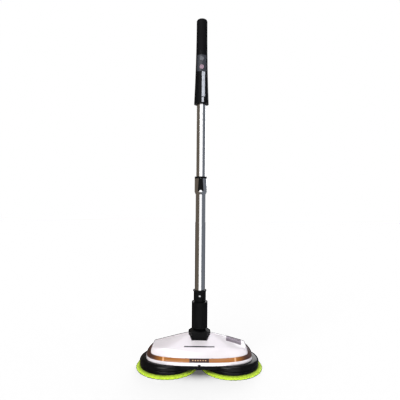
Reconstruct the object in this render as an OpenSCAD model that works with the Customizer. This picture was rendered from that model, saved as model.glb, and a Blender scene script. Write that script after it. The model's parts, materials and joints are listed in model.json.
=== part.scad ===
// Cordless twin-disc spin mop: two counter-rotating pads under a low motor head,
// a two-axis joint, and a telescopic pole with a button handle.
// Origin: on the floor midway between the pads. +X right, -Y front, +Z up.

/* [Pads] */
// Diameter of each cleaning pad
pad_d = 195; // [150:1:220]
// Gap between the rims of the two pads
pad_gap = 3; // [2:0.5:10]
// Thickness of each pad
pad_t = 9; // [7:0.5:14]
// Diameter of the turning disc that carries a pad
disc_d = 172; // [140:1:200]
// Thickness of the turning disc
disc_t = 9; // [7:0.5:12]

/* [Head] */
// Width of the top shell
shell_w = 328; // [290:1:360]
// Depth of the top shell
shell_d = 158; // [150:1:176]
// Fullness of the shell's outline, 2 is an ellipse
shell_full = 2.8; // [2.4:0.1:3.4]
// Wall of the top shell
shell_wall = 2.5; // [2:0.1:3.5]
// Height of the white lip below the light band
lip_h = 10; // [8:0.5:14]
// Height of the light band
band_h = 9; // [7:0.5:12]
// How far the light band leans inwards
band_lean = 11; // [8:0.5:13]
// Thickness of the chassis skirt
chassis_h = 13.5; // [9:0.5:16]
// Height of the shell's ridge above the floor
ridge_z = 103.5; // [100:0.5:112]

/* [Pole joint] */
// Height of the tilt hinge above the floor
tilt_z = 95; // [92:0.5:97]
// Radius of the yoke's barrel
yoke_r = 26; // [24:0.5:27]
// Half width of the yoke where it meets the ridge
yoke_half = 34; // [32:0.5:36]
// Half width of the yoke at its front foot
yoke_foot = 24; // [22:0.5:26]
// Furthest backward lean of the pole, in degrees
tilt_max = 75; // [60:1:78]
// Diameter of the tilt pin and of the swing pin
pin_d = 5; // [4:0.5:6]

/* [Pole] */
// Diameter of the socket's lower barrel
socket_d = 47.6; // [44:0.2:50]
// Length of the socket's lower barrel
socket_len = 80; // [70:0.2:100]
// Wall of the socket's upper collar, round the tube
collar_wall = 3; // [2.8:0.1:4]
// Length of the socket's upper collar
collar_len = 36; // [30:1:50]
// Diameter of the outer tube
outer_d = 30.4; // [29:0.1:32]
// Wall of the outer tube
outer_wall = 0.8; // [0.7:0.05:1]
// How far the outer tube's head widens, on each side
swage_out = 3.8; // [3.6:0.1:5]
// Length of the widened head
swage_len = 50; // [46:1:60]
// Length of outer tube between the socket and its widened head
outer_free = 298; // [220:1:360]
// Wall of the inner tube
inner_wall = 0.9; // [0.7:0.05:1.2]
// Distance between two length stops
notch_pitch = 18.5; // [15:0.5:22]
// Number of stops that the pole can shorten by
notches_in = 12; // [8:1:12]
// Number of stops that the pole can lengthen by
notches_out = 9; // [5:1:9]

/* [Handle] */
// Length of the whole handle
handle_len = 265; // [240:0.5:300]
// Diameter at the handle's foot
handle_foot_d = 46; // [42:0.5:50]
// Diameter at the handle's top
handle_top_d = 33.5; // [31:0.5:36]
// Length of the soft grip at the top
grip_len = 102; // [90:1:120]
// Wall of the handle's shells
handle_wall = 2.2; // [1.8:0.1:2.6]
// Width of the control panel
panel_w = 28; // [25:0.5:30]
// Height of the control panel
panel_h = 51; // [48:0.5:60]
// Diameter of each push button
button_d = 13.6; // [12:0.2:15]
// Travel of each push button
button_travel = 1.2; // [0.8:0.1:1.5]

/* [Drive] */
// Module of the gear teeth
gear_m = 1; // [0.9:0.05:1.1]
// Teeth on each drive gear
gear_teeth = 56; // [48:2:60]
// Teeth on each motor pinion
pinion_teeth = 14; // [12:2:16]
// Thickness of the gears
gear_t = 6; // [4:0.5:7]
// Diameter of each spindle
spindle_d = 8; // [6:0.5:10]
// Diameter of each motor
motor_d = 30; // [26:1:32]
// Height of each motor
motor_h = 32; // [26:1:36]

/* [Hidden] */
$fn = 96;

// Clearances
run_fit = 0.05; // between a pin or shaft and its bore
eps = 0.02; // overshoot of a cut

// Heights up the pads and the drive
hook_t = 1;
disc_z = pad_t + hook_t;
chassis_z = disc_z + disc_t + 1;
floor_t = 3;
seal_t = 1.5;
bearing_t = 5;
bearing_r = 8;
boss_r = bearing_r + 3;
gear_z = chassis_z + seal_t + bearing_t + 0.7;
plate_z = gear_z + gear_t + 2.4;
plate_t = 2.5;
spindle_top = plate_z + 0.5 + bearing_t;
lip_z = chassis_z + chassis_h;
band_z = lip_z + lip_h;
roof_z = band_z + band_h;

// Plan positions in the head
pad_x = (pad_d + pad_gap) / 2;
pinion_x = pad_x - gear_m * (gear_teeth + pinion_teeth) / 2;
shell_a = shell_w / 2;
shell_b = shell_d / 2;
roof_a = shell_a - band_lean - 1;
roof_b = shell_b - band_lean;
bridge_b = shell_b - 7;
skirt_r = disc_d / 2 - 0.5;
post_r = 4;
plate_post_r = gear_m * gear_teeth / 2 + 9;
screw_at = [22, 58];
band_t = 2.8;

// Roof: a crease near the front, a ridge behind the middle
roof_ball = 6;
crease = [118, -shell_b + 37, roof_z + 24.3];
ridge = [139, 12, ridge_z - 22];
ridge_mid = [40, 12, ridge_z];
brow_mid = [60, 46, ridge_z - 24];
side_fall = (ridge_mid[2] - ridge[2]) / (ridge[0] - ridge_mid[0]);
side_rise = (ridge_mid[2] - side_fall * (crease[0] - ridge_mid[0]) - crease[2]) / (ridge_mid[1] - crease[1]);
function side_roof(x, y) = ridge_mid[2] - side_fall * (x - ridge_mid[0]) - side_rise * (ridge_mid[1] - y);

// Tilt hinge and swing hinge
tilt_y = 6;
yoke_top = tilt_z + yoke_r;
socket_z = yoke_top + 2.6;
swing_z = yoke_top - 11;
tongue_half = 6;
tongue_r = 11;
tongue_neck = tongue_r - 0.6;
pin_r = pin_d / 2;
tilt_pin_half = yoke_half + 8.6;

// Heights up the pole
collar_z = socket_z + socket_len;
collar_top = collar_z + collar_len;
swage_z = collar_top + outer_free;
swage_top = swage_z + swage_len;
ring_t = 6;
ring_top = swage_top + ring_t;
outer_r = outer_d / 2;
outer_bore = outer_r - outer_wall;
swage_r = outer_r + swage_out;
collar_r = outer_r + collar_wall;
swage_bore = swage_r - outer_wall;
inner_r = outer_bore - 0.3;
inner_bore = inner_r - inner_wall;
outer_foot = socket_z + 28;
lock_z = swage_top - notch_pitch - 0.5;
handle_z = lock_z + (notches_in + 1) * notch_pitch + 10.5;
inner_foot = outer_foot + notches_in * notch_pitch + 8;
inner_top = handle_z + 50;

// Handle
handle_top = handle_z + handle_len;
grip_z = handle_top - grip_len;
foot_r = handle_foot_d / 2;
top_r = handle_top_d / 2;
dome_r = 7;
core_r = top_r - 2.9;
core_top = handle_top - 18;
panel_z = handle_z + 124.5;
power_z = panel_z + 13;
mode_z = panel_z - 12.5;
panel_t = 2.2;
panel_proud = 0.6;
board_y = -8;
board_t = 1.6;
button_r = button_d / 2;
handle_screw_z = [handle_z + 76, grip_z + 18];

// Length lock in the widened head
pocket_half = 5.6;
pocket_z = swage_z + 10.5;
lock_travel = 7;
lock_block = [lock_z - 5, lock_z + 14.5];
socket_screw_z = collar_top - 16;
screw_ring = 16.8;

// Light band, window, lamps, bar and label
band_end = roof_b - 4;
band_climb = 14;
climb_x = [roof_a - 26, roof_a - 7];
window_w = 58;
window_place = [0, -shell_b + band_lean / 2, band_z + band_h / 2];
band_angle = atan(band_h / band_lean);
win_t = band_t * sin(band_angle);
clip_x = [-85, -39, 39, 85];
led_x = [for (i = [0:5]) -18.75 + i * 7.5];
bar_w = 92;
bar_h = 4.6;
bar_place = [0, crease[1] - 0.4, crease[2] - 0.9];
label_w = 46;
label_d = 30;
label_x = 102;
label_y = -5.5;
label_place = [label_x, label_y, side_roof(label_x, label_y) + 0.2];

// Battery, board and charge socket
tray_z = plate_z;
tray_y = -51.5;
cell_r = 9.2;
cell_len = 65;
board_z = plate_z + 2;
charge_x = 60;
charge_z = lip_z + 5;
plate_posts = [for (a = [45:90:315]) [plate_post_r * cos(a), plate_post_r * sin(a)]];

// Gear teeth
pressure = 25;
backlash = 0.16;

// ---------------------------------------------------------------- helpers

function flare_r(z) = top_r + (foot_r - top_r) * pow(max(0, handle_top - z) / handle_len, 2);

function plan_points(a, b, n) = [
    for (t = [0:5:355])
        [a * sign(cos(t)) * pow(abs(cos(t)), 2 / n), b * sign(sin(t)) * pow(abs(sin(t)), 2 / n)]
];

module plan(a, b) polygon(plan_points(a, b, shell_full));

module slab(a, b, z, h = 0.01) translate([0, 0, z]) linear_extrude(h) plan(a, b);

module tube(r_out, r_in, z0, z1) {
    translate([0, 0, z0]) difference() {
        cylinder(r = r_out, h = z1 - z0);
        translate([0, 0, -1]) cylinder(r = r_in, h = z1 - z0 + 2);
    }
}

module along_x(x0, x1, r) translate([x0, 0, 0]) rotate([0, 90, 0]) cylinder(r = r, h = x1 - x0);

module along_y(y0, y1, r) translate([0, y0, 0]) rotate([-90, 0, 0]) cylinder(r = r, h = y1 - y0);

module block(x, y, z) translate([x[0], y[0], z[0]]) cube([x[1] - x[0], y[1] - y[0], z[1] - z[0]]);

module both_sides() {
    children();
    mirror([1, 0, 0]) children();
}

module rounded_rect(w, h, r) {
    square([w - 2 * r, h], center = true);
    square([w, h - 2 * r], center = true);
    for (x = [-1, 1], y = [-1, 1]) translate([x * (w / 2 - r), y * (h / 2 - r)]) circle(r = r);
}

// A pan-head screw along +Z, its head below z = 0
module screw(shank_r, length, head_r = 3, head_h = 2) {
    translate([0, 0, -0.6]) cylinder(r = shank_r, h = length + 0.6);
    translate([0, 0, -head_h]) difference() {
        cylinder(r = head_r, h = head_h);
        translate([0, 0, -1]) block([-head_r * 0.6, head_r * 0.6], [-0.4, 0.4], [0, 1.9]);
        translate([0, 0, -1]) block([-0.4, 0.4], [-head_r * 0.6, head_r * 0.6], [0, 1.9]);
    }
}

// A round-wire compression spring along +Z
module coil(r, wire, length, turns) {
    sides = 8;
    per_turn = 14;
    steps = turns * per_turn;
    rise = length - 2 * wire;
    rings = [
        for (i = [0:steps], k = [0:sides - 1])
            let (a = 360 * i / per_turn, b = 360 * k / sides, rr = r + wire * cos(b))
                [rr * cos(a), rr * sin(a), wire + rise * i / steps + wire * sin(b)]
    ];
    skin = [
        for (i = [0:steps - 1], k = [0:sides - 1])
            let (n = (k + 1) % sides, low = i * sides, high = low + sides)
                each [[high + k, high + n, low + n], [high + k, low + n, low + k]]
    ];
    first = [for (k = [0:sides - 1]) k];
    last = [for (k = [sides - 1:-1:0]) steps * sides + k];
    polyhedron(points = rings, faces = concat(skin, [first, last]));
}

// Involute of the angle with this cosine, in degrees
function involute(cosine) = sqrt(max(0, 1 / (cosine * cosine) - 1)) * 180 / PI - acos(cosine);

// Half a tooth's angle at radius r, with a little backlash
function tooth_angle(n, r) = let (
    pitch_r = gear_m * n / 2,
    base_r = pitch_r * cos(pressure)
) 90 / n - backlash / pitch_r * 180 / PI + involute(cos(pressure)) - involute(min(1, base_r / r));

module gear(n, bore_r) {
    pitch_r = gear_m * n / 2;
    base_r = pitch_r * cos(pressure);
    root_r = pitch_r - 1.25 * gear_m;
    tip_r = pitch_r + gear_m;
    first_r = max(base_r, root_r);
    flank = [for (s = [0:3]) first_r + (tip_r - first_r) * s / 3];
    outline = [
        for (i = [0:n - 1]) let (a = 360 * i / n) each [
            [root_r * cos(a - tooth_angle(n, first_r) - 0.2), root_r * sin(a - tooth_angle(n, first_r) - 0.2)],
            for (r = flank) [r * cos(a - tooth_angle(n, r)), r * sin(a - tooth_angle(n, r))],
            for (s = [3:-1:0]) let (r = flank[s]) [r * cos(a + tooth_angle(n, r)), r * sin(a + tooth_angle(n, r))],
            [root_r * cos(a + tooth_angle(n, first_r) + 0.2), root_r * sin(a + tooth_angle(n, first_r) + 0.2)]
        ]
    ];
    difference() {
        linear_extrude(gear_t) polygon(outline);
        if (bore_r > 0) translate([0, 0, -1]) cylinder(r = bore_r, h = gear_t + 2);
    }
}

// ---------------------------------------------------------------- handle

// The handle's outside, grown by g, between two heights
module handle_body(z0, z1, g) {
    steps = 8;
    rotate_extrude() polygon(concat(
        [[0, z0]],
        [for (i = [0:steps]) let (z = z0 + (z1 - z0) * i / steps) [flare_r(z) + g, z]],
        [[0, z1]]
    ));
}

module handle_half(front) {
    difference() {
        union() {
            handle_body(handle_z, grip_z, 0);
            translate([0, 0, grip_z - eps]) cylinder(r = core_r, h = core_top - grip_z);
        }
        difference() {
            union() {
                handle_body(handle_z - 1, grip_z - 3, -handle_wall);
                translate([0, 0, grip_z - 4]) cylinder(r = core_r - handle_wall, h = core_top - grip_z + 1);
            }
            for (z = [handle_z, handle_z + 30, inner_top - 4]) tube(foot_r + 1, inner_r, z, z + 4);
            translate([0, 0, inner_top]) cylinder(r = foot_r, h = 2);
            for (z = handle_screw_z) translate([0, 0, z]) along_y(-foot_r, foot_r, 3.6);
        }
        translate([0, 0, inner_top - 1]) cylinder(r = 9, h = 4);
        translate([-50, front ? 0 : -100, handle_z - 1]) cube([100, 100, handle_len + 2]);
        for (z = handle_screw_z) translate([0, 0, z]) along_y(-foot_r + 10, foot_r + 5, 1.5);
    }
}

module panel_prism(grow) {
    translate([0, -foot_r - 3, panel_z]) rotate([-90, 0, 0]) linear_extrude(foot_r)
        rounded_rect(panel_w + 2 * grow, panel_h + 2 * grow, 3 + grow);
}

module stripe_prism() {
    block([0.8, 7.2], [-foot_r - 3, 0], [handle_z + 3, handle_z + 18]);
    block([0.8, 10.4], [-foot_r - 3, 0], [handle_z + 20, panel_z - panel_h / 2 - 1]);
}

module handle_front_shell() {
    color("#17181a") difference() {
        handle_half(true);
        panel_prism(0);
        intersection() {
            stripe_prism();
            difference() {
                handle_body(handle_z, grip_z, 2);
                handle_body(handle_z - 1, grip_z + 1, -0.7);
            }
        }
    }
}

module handle_rear_shell() {
    peg_z = handle_z + 34;
    color("#17181a") {
        difference() {
            handle_half(false);
            for (z = handle_screw_z) translate([0, 0, z]) {
                along_y(z > grip_z ? core_r - 2.5 : flare_r(z) - 3.5, foot_r + 5, 3.2);
            }
        }
        translate([0, 0, peg_z]) along_y(inner_bore - 1, flare_r(peg_z) - 1, 2.4);
    }
}

module grip_sleeve() {
    arc = [for (t = [0:15:90]) [top_r - dome_r + dome_r * cos(t), handle_top - dome_r + dome_r * sin(t)]];
    steps = 5;
    side = [
        for (i = [0:steps - 1]) let (z = grip_z + (handle_top - dome_r - grip_z) * i / steps) [flare_r(z), z]
    ];
    color("#0f1011") difference() {
        rotate_extrude() polygon(concat([[0, grip_z]], side, arc, [[0, handle_top]]));
        translate([0, 0, grip_z - 1]) cylinder(r = core_r, h = core_top - grip_z + 1);
    }
}

module control_panel() {
    color("#4a4c52") difference() {
        intersection() {
            panel_prism(0);
            handle_body(handle_z, grip_z, panel_proud);
        }
        handle_body(handle_z - 1, grip_z + 1, panel_proud - panel_t);
        for (z = [power_z, mode_z]) translate([0, 0, z]) along_y(-foot_r - 5, 0, button_r + 0.3);
    }
}

// How far in front of the axis a button's flange sits, clear behind the curved panel
function flange_y(z) = sqrt(pow(flare_r(z) + panel_proud - panel_t, 2) - pow(button_r + 1.2, 2)) - 0.6;

module push_button(z) {
    face = flare_r(z) + panel_proud + 1.5;
    flange = flange_y(z);
    translate([0, 0, z]) difference() {
        union() {
            along_y(-face, -flange + 0.6, button_r);
            along_y(-flange, -flange + 1.2, button_r + 1.2);
        }
        along_y(-flange + 0.5, -flange + 3, 2.8);
    }
}

module power_button() color("#33353a") push_button(power_z);

module mode_button() color("#b9a9b4") push_button(mode_z);

module button_spring(z) {
    seat = flange_y(z) - 0.5;
    translate([0, -seat, z]) rotate([-90, 0, 0]) coil(2, 0.35, seat + board_y, 3);
}

module power_spring() color("silver") button_spring(power_z);

module mode_spring() color("silver") button_spring(mode_z);

module button_board() {
    half_w = 11;
    color("#1f6b3a") {
        block([-half_w, half_w], [board_y, board_y + board_t], [panel_z - 30, panel_z + 30]);
        block([-4, 4], [board_y + board_t, board_y + 6], [panel_z - 28, panel_z - 20]);
    }
    // Ledges that the shells clamp
    color("#1f6b3a") block([-3, 3], [board_y, board_y + board_t], [panel_z - 34, panel_z + 34]);
}

module handle_screws() {
    color("silver") for (z = handle_screw_z) {
        head_y = (z > grip_z ? core_r - 2.5 : flare_r(z) - 3.5) + 2;
        translate([0, head_y - 2, z]) rotate([90, 0, 0]) screw(1.5, head_y + 4, 3);
    }
}

module handle_stripe() {
    color("#e8e8ea") intersection() {
        stripe_prism();
        difference() {
            handle_body(handle_z, grip_z, 0.15);
            handle_body(handle_z - 1, grip_z + 1, -0.7);
        }
    }
}

// ---------------------------------------------------------------- pole

module inner_tube() {
    color("#d9d9dc") difference() {
        tube(inner_r, inner_bore, inner_foot, inner_top);
        for (i = [-notches_out:notches_in]) translate([0, -inner_r, lock_z + i * notch_pitch])
            dimple();
        translate([0, 0, handle_z + 34]) along_y(0, inner_r + 1, 2.6);
    }
}

// A shallow transverse dimple, cut by a roller lying across the tube
module dimple() translate([0, -1.4, 0]) along_x(-5, 5, 2);

module glide_bush() {
    color("#2a2a2c") difference() {
        union() {
            tube(outer_bore - run_fit, inner_bore - 1.6, inner_foot - 6, inner_foot);
            tube(inner_bore, inner_bore - 1.6, inner_foot - eps, inner_foot + 12);
        }
    }
}

module outer_tube() {
    taper = 8;
    color("#d9d9dc") difference() {
        rotate_extrude() polygon([
            [outer_bore, outer_foot], [outer_r, outer_foot], [outer_r, swage_z],
            [swage_r, swage_z + taper], [swage_r, swage_top],
            [swage_bore, swage_top], [swage_bore, swage_z + taper], [outer_bore, swage_z]
        ]);
        block([-3.3, 3.3], [-swage_r - 1, 0], [lock_z + 1.5, lock_z + 15]);
        translate([0, 0, socket_screw_z]) along_y(-outer_r - 1, 0, 1.6);
    }
}

module lock_collar() {
    color("#141516") difference() {
        union() {
            tube(swage_bore, inner_r + 0.3, swage_z + 9, swage_top);
            tube(swage_r, inner_r + 0.3, swage_top, ring_top);
        }
        block([-pocket_half, pocket_half], [-swage_bore - 1, -inner_r + 3], [pocket_z, swage_top - 1]);
    }
}

module lock_slider() {
    block_face = -inner_r - 0.7;
    thumb_top = swage_top + 1.5;
    thumb_foot = swage_top - 39;
    color("#141516") difference() {
        union() {
            intersection() {
                block([-5.2, 5.2], [-swage_bore, block_face], lock_block);
                cylinder(r = swage_bore - 0.35, h = 2000);
            }
            block([-2.9, 2.9], [-swage_r - 1, -swage_bore + 1], [lock_z + 9, lock_z + 14.3]);
            intersection() {
                translate([0, -swage_r - 3.6, 0]) rotate([-90, 0, 0]) linear_extrude(6)
                    polygon([[-6.2, -thumb_top], [6.2, -thumb_top], [8.9, -thumb_foot], [-8.9, -thumb_foot]]);
                tube(swage_r + 3.6, swage_r + 0.35, thumb_foot, swage_top - 0.3);
            }
        }
        // Room for the roller over the whole travel
        block([-6, 6], [-swage_bore, 0], [lock_z - 2.6, lock_z + lock_travel + 2.6]);
        // Hollow at the thumb's foot
        translate([0, 0, thumb_foot - 2.5]) along_y(-swage_r - 8, 0, 5.5);
    }
    // Cheeks that join the block above and below the roller
    color("#141516") both_sides() block([4.4, 5.2], [-swage_bore + 1.3, block_face], lock_block);
}

module lock_roller() color("silver") translate([0, -inner_r - 2, lock_z]) along_x(-3.9, 3.9, 1.6);

module lock_spring() {
    color("silver") translate([0, -inner_r - 2.2, pocket_z]) coil(1.2, 0.35, lock_block[0] - pocket_z, 5);
}

module coil_cable() {
    color("#1a1a1a") tube(5, 2, outer_foot + 20, inner_top - 6);
}

module pole_socket() {
    step_h = 3;
    color("#151617") difference() {
        union() {
            translate([0, 0, socket_z]) cylinder(r = socket_d / 2, h = socket_len);
            translate([0, 0, collar_z - eps]) cylinder(r = collar_r - 0.9, h = step_h);
            translate([0, 0, collar_z + step_h - 2 * eps]) cylinder(r = collar_r, h = collar_len - step_h);
            translate([0, 0, collar_top - 5]) cylinder(r1 = collar_r, r2 = collar_r + 1.8, h = 3);
            translate([0, 0, collar_top - 2]) cylinder(r = collar_r + 1.8, h = 2);
        }
        translate([0, 0, outer_foot]) cylinder(r = outer_r, h = 200);
        translate([0, 0, socket_z - 1]) cylinder(r = 12, h = 60);
        translate([0, 0, socket_z - 1]) cylinder(r = socket_d / 2 - 3, h = 9);
        difference() {
            translate([0, 0, socket_z + 12]) cylinder(r = socket_d / 2 - 2.6, h = socket_len - 15);
            translate([0, 0, socket_z + 10]) cylinder(r = outer_r + 2, h = socket_len);
            both_sides() translate([screw_ring, 0, 0]) cylinder(r = 3, h = 300);
        }
        both_sides() translate([screw_ring, 0, socket_z]) cylinder(r = 1.4, h = 22);
        translate([0, 0, socket_screw_z]) along_y(-30, -collar_r + 1, 2.9);
        translate([0, 0, socket_screw_z]) along_y(-30, -outer_r + 2, 1.6);
    }
}

module swivel_knuckle() {
    color("#1b1c1d") difference() {
        union() {
            translate([0, 0, socket_z + 0.5]) cylinder(r = socket_d / 2 - 3, h = 7.5);
            translate([0, 0, socket_z + 8 - eps]) cylinder(r = 11.9, h = 6);
            intersection() {
                block([-tongue_neck, tongue_neck], [-tongue_half, tongue_half], [swing_z, socket_z + 1]);
                translate([0, 0, swing_z]) along_y(-10, 10, 20);
            }
            translate([0, 0, swing_z]) along_y(-tongue_half, tongue_half, tongue_r);
        }
        translate([0, 0, swing_z]) along_y(-20, 20, pin_r + run_fit);
        both_sides() translate([screw_ring, 0, socket_z - 1]) cylinder(r = 1.5, h = 12);
        both_sides() translate([screw_ring, 0, socket_z]) cylinder(r = 3.1, h = 2.6);
        translate([0, 0, socket_z + 4]) cylinder(r = 4, h = 20);
    }
}

module knuckle_screws() {
    color("silver") both_sides() translate([screw_ring, 0, socket_z + 2.6]) screw(1.4, 16, 3, 1.9);
}

// Holds the tube in the collar and ends inside the tube's wall
module socket_screw() {
    color("silver") translate([0, -collar_r - 0.6, socket_screw_z]) rotate([-90, 0, 0])
        translate([0, 0, 1.6]) screw(1.6, collar_r - outer_bore - 1.1, 2.9, 1.6);
}

// ---------------------------------------------------------------- pole joint

// The yoke's outline seen from above, grown by g
module yoke_plan(g) {
    front = -yoke_r - 4;
    back = yoke_r + 30;
    slope = (yoke_half - yoke_foot) / 30;
    front_half = yoke_foot + slope * (front + 18);
    translate([0, 0, -1]) linear_extrude(300) polygon([
        [-front_half - g, front], [front_half + g, front], [yoke_half + g, 12],
        [yoke_half + g, back], [-yoke_half - g, back], [-yoke_half - g, 12]
    ]);
}

module at_tilt() translate([0, tilt_y, tilt_z]) children();

module tilt_yoke() {
    dome_x = 14;
    shoulder_z = ridge_z + 1;
    wide = yoke_half + 10;
    hub_r = 6;
    color("#1c1d1e") difference() {
        union() {
            difference() {
                intersection() {
                    at_tilt() along_x(-wide, wide, yoke_r);
                    yoke_plan(0);
                    rotate([90, 0, 0]) translate([0, 0, -100]) linear_extrude(200) polygon([
                        [-wide, 0], [wide, 0], [wide, shoulder_z - 10], [yoke_half, shoulder_z],
                        [dome_x, yoke_top + 0.3], [-dome_x, yoke_top + 0.3],
                        [-yoke_half, shoulder_z], [-wide, shoulder_z - 10]
                    ]);
                }
                // Side arms end just above the hinge, so that they clear the shell when the pole leans
                both_sides() block([yoke_foot - 1, wide], [-60, 60], [0, tilt_z + 3]);
            }
            at_tilt() along_x(-yoke_half + 0.5, yoke_half - 0.5, hub_r);
        }
        at_tilt() along_x(-wide, wide, pin_r + run_fit);
        // Slot for the knuckle's tongue
        block([-tongue_r - 9, tongue_r + 9], [-tongue_half - 0.4, tongue_half + 0.4], [swing_z, 200]);
        translate([0, 0, swing_z]) along_y(-tongue_half - 0.4, tongue_half + 0.4, tongue_r + 0.8);
        translate([0, 0, swing_z]) along_y(-10, 60, pin_r);
        // Hollow foot
        at_tilt() block([-yoke_foot + 5, yoke_foot - 5], [-13, 13], [-yoke_r - 1, -9]);
    }
}

module swing_pin() color("silver") translate([0, 0, swing_z]) along_y(-10, 22, pin_r);

module tilt_pin() color("silver") at_tilt() along_x(-tilt_pin_half, tilt_pin_half, pin_r);

// Space in the shell that the yoke and the leaning pole need, grown by g
module joint_room(g) {
    sweep_half = socket_d / 2 + 1.5;
    intersection() {
        at_tilt() along_x(-yoke_half - 0.6 - g, yoke_half + 0.6 + g, yoke_r + 0.6 + g);
        yoke_plan(0.6 + g);
    }
    at_tilt() along_x(-yoke_half - 0.6, yoke_half + 0.6, 6.5);
    intersection() {
        at_tilt() rotate([-tilt_max, 0, 0])
            block([-sweep_half - g, sweep_half + g], [-90, socket_d / 2 - tilt_y + 1.5 + g], [-60, 150]);
        block([-sweep_half - g, sweep_half + g], [tilt_y - g, 120], [0, 300]);
    }
}

// ---------------------------------------------------------------- head

// The shell's solid outline, drawn in by g
module head_lip(g, z0) translate([0, 0, z0]) linear_extrude(band_z - z0 + eps) plan(shell_a - g, shell_b - g);

module head_band(g) hull() {
    slab(shell_a - g, shell_b - g, band_z);
    slab(roof_a - g, roof_b - g, roof_z - 0.01);
}

module head_roof(g) hull() {
    slab(roof_a - g, roof_b - g, roof_z - 0.01 - (g > 0 ? g : 0));
    for (p = [crease, ridge, ridge_mid, brow_mid], s = [-1, 1])
        translate([s * p[0], p[1], p[2] - roof_ball]) sphere(r = roof_ball - g, $fn = 24);
    translate([0, crease[1], crease[2] + 5 - roof_ball]) sphere(r = roof_ball - g, $fn = 24);
}

// Where the light band lies: a belt that climbs the ends of the head
module band_zone() intersection() {
    rotate([90, 0, 0]) translate([0, 0, -200]) linear_extrude(400) polygon([
        [-200, band_z], [200, band_z], [200, roof_z + band_climb], [climb_x[1], roof_z + band_climb],
        [climb_x[0], roof_z], [-climb_x[0], roof_z],
        [-climb_x[1], roof_z + band_climb], [-200, roof_z + band_climb]
    ]);
    translate([0, band_end, band_z]) rotate([35, 0, 0]) block([-200, 200], [-300, 0], [-300, 300]);
}

// What lies behind the light band
module band_back() {
    head_band(band_t);
    head_roof(band_t);
}

module band_ring() intersection() {
    difference() {
        union() {
            head_band(0);
            head_roof(0);
        }
        band_back();
    }
    band_zone();
}

module screw_bosses(r, z0, z1) {
    for (x = [-1, 1], y = [-1, 1])
        translate([x * screw_at[0], y * screw_at[1], z0]) cylinder(r = r, h = z1 - z0);
}

module at_bar() translate(bar_place) rotate([37, 0, 0]) children();

module at_label() translate(label_place) rotate([atan(side_rise), atan(side_fall), 0]) rotate([0, 0, -7])
    children();

module top_shell() {
    boss_z = chassis_z + floor_t + 3;
    color("#f1eef2") difference() {
        union() {
            head_lip(0, lip_z);
            head_band(0);
            head_roof(0);
            intersection() {
                screw_bosses(4.5, boss_z, lip_z + 1);
                slab(shell_a - 8, shell_b - 8, 0, 200);
            }
        }
        difference() {
            union() {
                head_lip(shell_wall, lip_z - 1);
                head_band(band_t + shell_wall);
                head_roof(band_t + shell_wall - 0.3);
            }
            joint_room(shell_wall);
            screw_bosses(4.5, 0, 200);
            at_tilt() both_sides() along_x(yoke_half + 0.6, tilt_pin_half + 1, 7);
        }
        joint_room(0);
        at_tilt() along_x(-tilt_pin_half, tilt_pin_half, pin_r);
        screw_bosses(1.4, 0, chassis_z + 24);
        difference() {
            band_zone();
            band_back();
        }
        at_window() block([-33, 33], [-3.5, 3.5], [-9, -win_t + 0.3]);
        at_bar() block([-bar_w / 2, bar_w / 2], [-bar_h / 2, bar_h / 2], [-1.6, 10]);
        at_label() block([-label_w / 2, label_w / 2], [-label_d / 2, label_d / 2], [-0.8, 10]);
        translate([charge_x, 0, charge_z]) along_y(0, 100, 4);
    }
}

module at_window() translate(window_place) rotate([band_angle, 0, 0]) children();

module light_band() {
    color("#b5651d") difference() {
        band_ring();
        at_window() block([-window_w / 2, window_w / 2], [-4.4, 4.4], [-5, 5]);
        for (x = clip_x) translate([x, 0, 0]) clip_block();
    }
}

module clip_block() block([-3, 3], [-shell_b, 0], [roof_z - 1.6, roof_z + 1]);

module band_clips() {
    color("#2b211d") intersection() {
        for (x = clip_x) translate([x, 0, 0]) clip_block();
        difference() {
            head_band(0);
            head_band(band_t);
        }
    }
}

module led_window() {
    color("#2b1a14") difference() {
        intersection() {
            at_window() block([-window_w / 2, window_w / 2], [-4.4, 4.4], [-5, 5]);
            band_ring();
        }
        for (x = led_x) translate([x, 0, 0]) at_window() cylinder(r = 1.5, h = 20, center = true);
    }
}

module front_leds() {
    color("#ffe7c4") for (x = led_x) translate([x, 0, 0]) at_window() translate([0, 0, -win_t - 0.6])
        cylinder(r = 1.5, h = win_t + 0.75);
}

module led_board() {
    color("#1f6b3a") at_window() block([-33, 33], [-3.5, 3.5], [-win_t - 2, -win_t - 0.6]);
}

module status_bar() {
    color("#1a1a1c") at_bar() difference() {
        block([-bar_w / 2, bar_w / 2], [-bar_h / 2, bar_h / 2], [-1.6, 0.5]);
        for (i = [-5:5]) translate([i * 8, 0, 0]) block([-2.6, 2.6], [-1, 1], [0, 1]);
    }
}

module label_plate() {
    color("#8d8492") at_label() block([-label_w / 2, label_w / 2], [-label_d / 2, label_d / 2], [-0.8, 0.4]);
}

// The rounded skirt over one turning disc
module skirt() {
    shoulder = skirt_r - 13.5;
    rotate_extrude($fn = 144) polygon(concat(
        [[0, chassis_z], [skirt_r, chassis_z]],
        [for (t = [0:15:90]) [shoulder + 13.5 * cos(t), chassis_z + 2 + (chassis_h - 2) * sin(t)]],
        [[0, lip_z]]
    ));
}

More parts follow.
